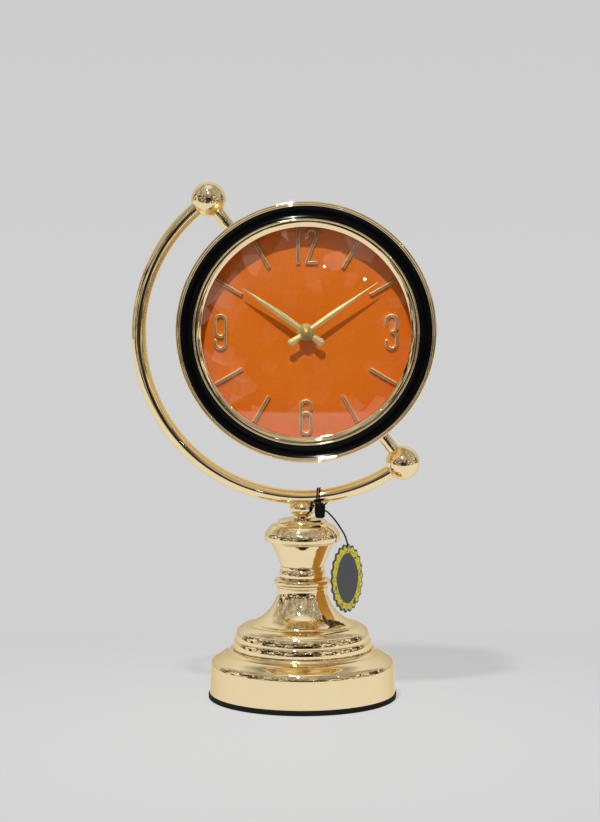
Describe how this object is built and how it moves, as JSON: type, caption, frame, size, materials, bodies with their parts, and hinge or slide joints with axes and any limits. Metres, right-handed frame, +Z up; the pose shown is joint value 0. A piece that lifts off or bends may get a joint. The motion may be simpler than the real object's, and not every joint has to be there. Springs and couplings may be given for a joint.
{
  "type": "table clock",
  "caption": "Round table clock held in a leaning C arm on a turned foot, with domed glass, raised numerals, ridged hands, a quartz movement and a swing tag.",
  "frame": {"origin": "centre of the foot pad's underside, on the axis of the turned foot", "axes": "+Z up along the foot's axis, the dial faces -Y, +X to the viewer's right"},
  "size_m": [0.1767, 0.1106, 0.3017],
  "materials": {
    "pad": "matt, dense foam",
    "steel": "plain turned steel",
    "weight": "raw casting",
    "gold": "polished and lacquered",
    "case_gold": "gold anodised, satin",
    "black_gloss": "high gloss black",
    "bush": "sintered bearing metal",
    "glass": "clear, domed",
    "gasket": "matt",
    "dial_orange": "mottled orange, semi matt",
    "dial_gold": "bright gold",
    "movement_black": "fine moulded grain",
    "battery": "plain printed sleeve left bare",
    "coil": "lacquered copper winding",
    "board": "green solder mask",
    "magnet": "bonded magnet and steel arbor",
    "train_plastic": "natural acetal",
    "train_brass": "stamped brass",
    "string": "twisted black cord",
    "seal": "rough black pellet",
    "tag": "bare dark panel, scalloped edge"
  },
  "bodies": {
    "stand": {"foot_pad": "pad", "bottom_plate": "steel", "base_weight": "weight", "plinth": "gold", "bell_foot": "gold", "neck_ring": "gold", "cup": "gold", "cup_cap": "gold", "finial": "gold", "tie_rod": "steel", "tie_nut": "steel", "tie_washer": "steel", "arm": "gold", "upper_ball": "gold", "lower_ball": "gold", "upper_sleeve": "gold", "lower_sleeve": "gold", "pivot_pins": "steel", "spring_washers": "steel", "tag_string": "string", "tag_seal": "seal", "swing_tag": "tag"},
    "case": {"pivot_bushes": "bush", "case_shell": "case_gold", "rim_bezel": "gold", "black_ring": "black_gloss", "inner_bezel": "gold", "glass": "glass", "glass_gasket": "gasket", "dial_spacer": "dial_orange", "dial": "dial_orange", "numeral_12": "dial_gold", "numeral_3": "dial_gold", "numeral_6": "dial_gold", "numeral_9": "dial_gold", "hour_bars": "dial_gold", "rear_cover": "case_gold", "cover_screws": "steel", "movement_case": "movement_black", "movement_cover": "movement_black", "movement_washer": "gasket", "dial_nut": "dial_gold", "battery": "battery", "battery_contacts": "steel", "coil": "coil", "stator": "steel", "circuit_board": "board"},
    "minute": {"cannon_pinion": "train_brass", "minute_hand": "dial_gold", "hand_nut": "dial_gold"},
    "hour": {"hour_wheel": "train_brass", "hour_hand": "dial_gold"},
    "motion": {"motion_wheel": "train_plastic", "setting_knob": "movement_black"},
    "rotor": {"rotor": "magnet"},
    "middle": {"middle_wheel": "train_plastic"},
    "second": {"second_wheel": "train_plastic"},
    "third": {"third_wheel": "train_plastic"},
    "centre": {"centre_wheel": "train_brass"}
  },
  "joints": [
    {"name": "case_swivel", "type": "hinge", "parent": "stand", "child": "case", "pos_m": [0.00201, 0, 0.21488], "axis": [-0.5934, 0, 0.8049], "continuous": true},
    {"name": "minute_hand", "type": "hinge", "parent": "case", "child": "minute", "pos_m": [0.00201, 0, 0.21488], "axis": [0, 1, 0], "continuous": true},
    {"name": "hour_hand", "type": "hinge", "parent": "case", "child": "hour", "pos_m": [0.00201, 0, 0.21488], "axis": [0, 1, 0], "continuous": true},
    {"name": "motion_wheel", "type": "hinge", "parent": "case", "child": "motion", "pos_m": [-0.00759, 0, 0.21488], "axis": [0, 1, 0], "continuous": true},
    {"name": "rotor", "type": "hinge", "parent": "case", "child": "rotor", "pos_m": [0.01596, 0, 0.21214], "axis": [0, 1, 0], "continuous": true},
    {"name": "middle_wheel", "type": "hinge", "parent": "case", "child": "middle", "pos_m": [0.01033, 0, 0.21008], "axis": [0, 1, 0], "continuous": true},
    {"name": "second_wheel", "type": "hinge", "parent": "case", "child": "second", "pos_m": [0.00201, 0, 0.21488], "axis": [0, 1, 0], "continuous": true},
    {"name": "third_wheel", "type": "hinge", "parent": "case", "child": "third", "pos_m": [0.0045, 0, 0.22416], "axis": [0, 1, 0], "continuous": true},
    {"name": "centre_wheel", "type": "hinge", "parent": "case", "child": "centre", "pos_m": [0.00201, 0, 0.21488], "axis": [0, 1, 0], "continuous": true}
  ],
  "couplings": [
    {"joint": "hour_hand", "follows": "minute_hand", "ratio": 0.083333},
    {"joint": "motion_wheel", "follows": "minute_hand", "ratio": -0.33333},
    {"joint": "middle_wheel", "follows": "rotor", "ratio": -0.2},
    {"joint": "second_wheel", "follows": "rotor", "ratio": 0.033333},
    {"joint": "third_wheel", "follows": "rotor", "ratio": -0.0041667},
    {"joint": "centre_wheel", "follows": "rotor", "ratio": 0.00055556}
  ]
}
